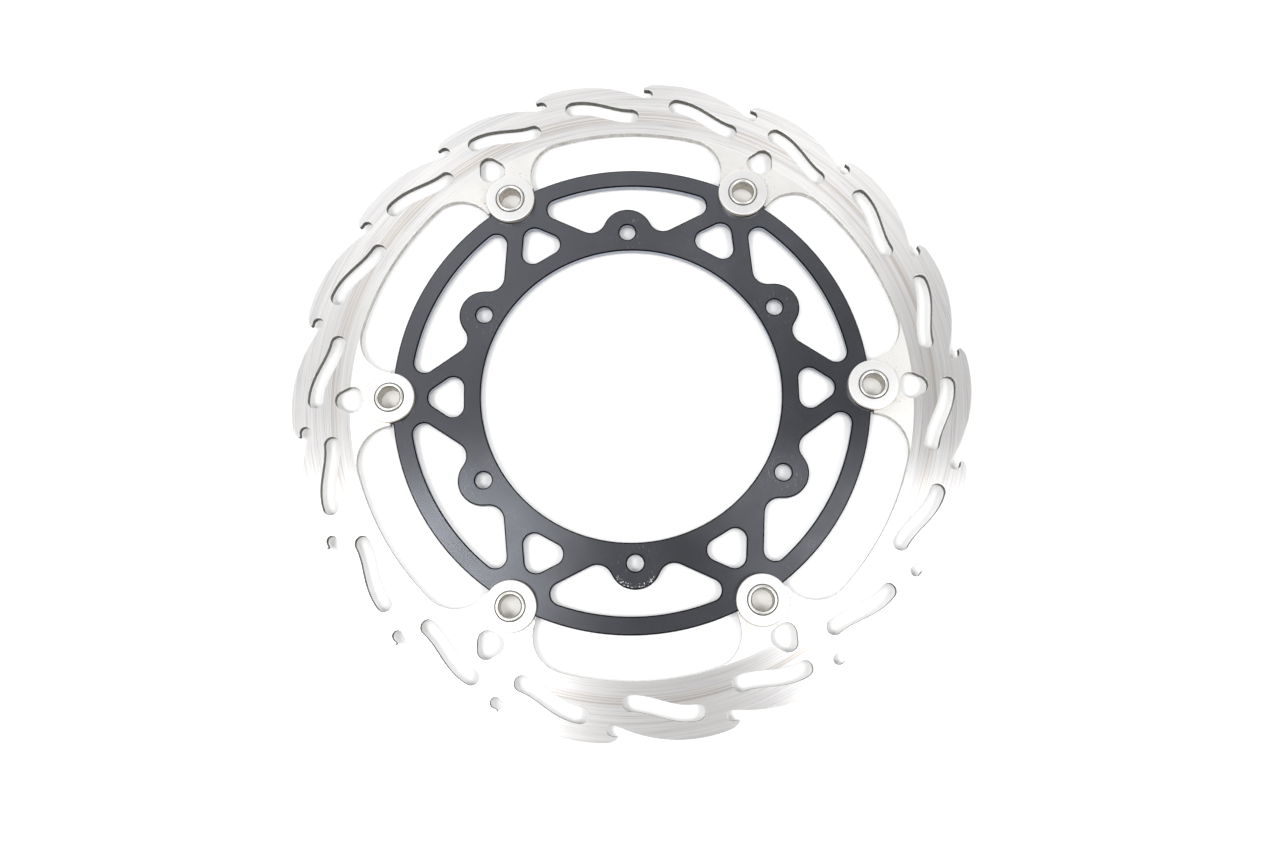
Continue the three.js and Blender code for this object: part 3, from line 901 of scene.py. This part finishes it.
def wave_washer_profile(bottom):
    """The wave washer's section, where it sits lowest."""
    top = bottom + WAVE_WASHER_THICKNESS
    soft = WAVE_WASHER_THICKNESS / 4
    profile = [(WAVE_WASHER_HOLE_RADIUS, bottom, 0)]
    profile += bend((WAVE_WASHER_RADIUS - soft, bottom + soft), soft, -90, 0, 0, 3)
    profile += bend((WAVE_WASHER_RADIUS - soft, top - soft), soft, 0, 90, 0, 3)
    profile.append((WAVE_WASHER_HOLE_RADIUS, top, 0))
    return profile


def wave(angle):
    """How much higher the wave washer sits at an angle round it."""
    return WAVE_HEIGHT * (1 + math.cos(WAVE_COUNT * angle)) / 2


washer_top = heights("flat_washer_1")[1]
wave_washer_bottom = heights("wave_washer_1")[0]
# One painted-shade material darkens the washers' countersinks and the bobbins' gaps.
grime_and_shade = painted_shade_steel()
bobbin_mesh = turned("bobbin", bobbin_profile(washer_top), [turned_steel(), bobbin_bore(), grime_and_shade])
washer_mesh = turned("flat_washer", washer_profile(washer_top), [plated_steel(), grime_and_shade])
wave_washer_mesh = turned("wave_washer", wave_washer_profile(wave_washer_bottom), [spring_steel()], wave)

for number, angle in enumerate(sector_angles(BOBBIN_COUNT), start=1):
    x, y, _ = to_sector((0, BOBBIN_CIRCLE_RADIUS, 0), angle)
    for mesh, node, finish in (
        (bobbin_mesh, "bobbin", "turned_steel"),
        (washer_mesh, "flat_washer", "plated_steel"),
        (wave_washer_mesh, "wave_washer", "spring_steel"),
    ):
        piece = link(f"{node}_look_{number}", mesh)
        piece.location = (x * MM, y * MM, 0)
        piece.rotation_euler.z = math.radians(angle)
        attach(piece, f"button_{number}")
        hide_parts(f"{node}_{number}")

# ---------------------------------------------------------------- floor, lights and camera

FLOOR_HALF_WIDTH = 1.5
FLOOR_BELOW_FLANGES = 0.0002
floor_mesh = bpy.data.meshes.new("floor")
quarters = [(-1, -1), (1, -1), (1, 1), (-1, 1)]
floor_corners = [(x * FLOOR_HALF_WIDTH, y * FLOOR_HALF_WIDTH, 0) for x, y in quarters]
floor_mesh.from_pydata(floor_corners, [], [(0, 1, 2, 3)])
floor_mesh.materials.append(pale_floor())
floor = link("floor", floor_mesh)
floor.location.z = -FLOOR_BELOW_FLANGES


def softbox(name, azimuth, from_zenith, distance, width, depth, power):
    """A rectangular lamp that faces the disc from a direction given in degrees."""
    lamp = bpy.data.lights.new(name, "AREA")
    lamp.shape = "RECTANGLE"
    lamp.size = width
    lamp.size_y = depth
    lamp.energy = power
    a, z = math.radians(azimuth), math.radians(from_zenith)
    towards = Vector((math.sin(z) * math.cos(a), math.sin(z) * math.sin(a), math.cos(z)))
    light = bpy.data.objects.new(name, lamp)
    light.location = towards * distance
    light.rotation_euler = towards.to_track_quat("Z", "Y").to_euler()
    bpy.context.scene.collection.objects.link(light)


softbox("left_softbox", azimuth=208, from_zenith=27, distance=1.1, width=0.60, depth=0.28, power=5.6)
softbox("right_softbox", azimuth=335, from_zenith=33, distance=1.1, width=0.56, depth=0.28, power=4.5)


# Places of the tent that are dimmer or brighter than the rest: the direction of each one, the
# angles in degrees from it where it starts and stops fading, and its level.
TENT_PLACES = (
    ((0.16, 0.17, 1), 8, 34, 0.14),
    ((0, -0.75, 0.66), 10, 34, 0.6),
    ((0, 0.8, 0.6), 15, 50, 1.4),
)
TENT_STRENGTH = 1.12


def studio_world():
    """A white tent, dim overhead and in front, where the photographer stands, and brighter behind."""
    world = bpy.data.worlds.new("studio")
    n = Nodes(world)
    direction = n.add("ShaderNodeTexCoord").outputs["Generated"]
    strength = TENT_STRENGTH
    for towards, full_until, gone_from, level in TENT_PLACES:
        inputs = {0: direction, 1: Vector(towards).normalized()}
        nearness = n.add("ShaderNodeVectorMath", inputs, operation="DOT_PRODUCT").outputs["Value"]
        low, high = math.cos(math.radians(gone_from)), math.cos(math.radians(full_until))
        strength = n.math("MULTIPLY", strength, n.ramp(nearness, low, high, 1.0, level))
    background = n.add("ShaderNodeBackground", {"Color": (1, 1, 1, 1), "Strength": strength})
    n.add("ShaderNodeOutputWorld", {"Surface": background.outputs[0]})
    return world


scene = bpy.context.scene
scene.world = studio_world()
scene.view_settings.view_transform = "Standard"

# The camera's place from the middle of the carrier's upper face, its turn in degrees, and its focal
# length and sensor width in millimetres.
CAMERA_PLACE = (0.00482, -0.10646, 0.4202)
CAMERA_TURN = (12.39, 0.55, -1.45)
FOCAL_LENGTH = 30.685
SENSOR_WIDTH = 36
lens = bpy.data.cameras.new("camera")
lens.lens = FOCAL_LENGTH
lens.sensor_width = SENSOR_WIDTH
lens.clip_start = 0.01
camera = bpy.data.objects.new("camera", lens)
camera.location = Vector(CAMERA_PLACE) + Vector((0, 0, carrier_high * MM))
camera.rotation_euler = Euler([math.radians(a) for a in CAMERA_TURN], "XYZ")
scene.collection.objects.link(camera)
scene.camera = camera
